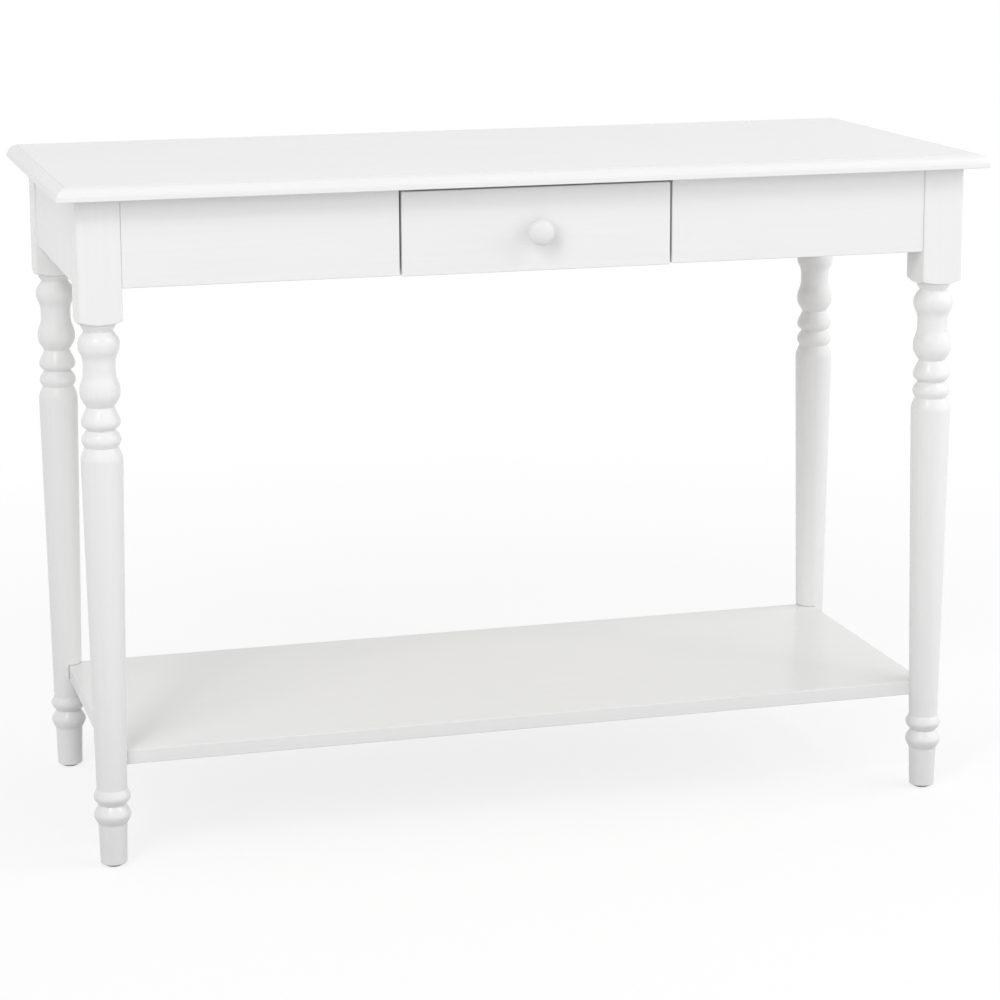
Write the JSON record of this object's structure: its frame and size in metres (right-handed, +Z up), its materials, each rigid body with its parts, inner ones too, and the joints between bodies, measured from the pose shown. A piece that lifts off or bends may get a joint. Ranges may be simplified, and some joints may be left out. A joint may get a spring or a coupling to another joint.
{
  "type": "console table",
  "caption": "Narrow white console table with a moulded top, turned legs on square blocks, a central apron drawer with a round knob and a full lower shelf.",
  "frame": {"origin": "on the floor, in the middle of the footprint", "axes": "+X to the right along the tabletop, +Y to the back, +Z up; the drawer opens towards -Y"},
  "size_m": [1.05, 0.455, 0.752],
  "materials": {
    "white_lacquer": "white semi-gloss lacquer over wood",
    "plain_wood": "pale sanded wood",
    "thin_panel": "thin pale plywood",
    "zinc_steel": "bright zinc plating",
    "cast_zinc": "plain die-cast zinc",
    "dark_plastic": "dark moulded plastic"
  },
  "bodies": {
    "table": {"apron_dowels": "plain_wood", "back_apron": "white_lacquer", "brace_nuts": "zinc_steel", "brace_screws": "zinc_steel", "brace_washers": "zinc_steel", "corner_brace_back_left": "zinc_steel", "corner_brace_back_right": "zinc_steel", "corner_brace_front_left": "zinc_steel", "corner_brace_front_right": "zinc_steel", "drawer_kicker_left": "plain_wood", "drawer_kicker_right": "plain_wood", "drawer_partition_left": "plain_wood", "drawer_partition_right": "plain_wood", "drawer_runner_left": "plain_wood", "drawer_runner_right": "plain_wood", "foot_glides": "dark_plastic", "front_apron_left": "white_lacquer", "front_apron_right": "white_lacquer", "hanger_bolts": "zinc_steel", "leg_back_left": "white_lacquer", "leg_back_right": "white_lacquer", "leg_front_left": "white_lacquer", "leg_front_right": "white_lacquer", "partition_dowels": "plain_wood", "runner_screws": "zinc_steel", "shelf": "white_lacquer", "shelf_cam_bolts": "zinc_steel", "shelf_cams": "cast_zinc", "side_apron_left": "white_lacquer", "side_apron_right": "white_lacquer", "tabletop": "white_lacquer", "top_bracket_screws": "zinc_steel", "top_brackets": "zinc_steel"},
    "drawer": {"drawer_front": "white_lacquer", "drawer_side_left": "plain_wood", "drawer_side_right": "plain_wood", "drawer_back": "plain_wood", "drawer_bottom": "thin_panel", "knob": "white_lacquer", "knob_screw": "zinc_steel", "drawer_dowels": "plain_wood", "drawer_screws": "zinc_steel"}
  },
  "joints": [
    {"name": "drawer_slide", "type": "slide", "parent": "table", "child": "drawer", "axis": [0, -1, 0], "range_m": [0, 0.22]}
  ]
}
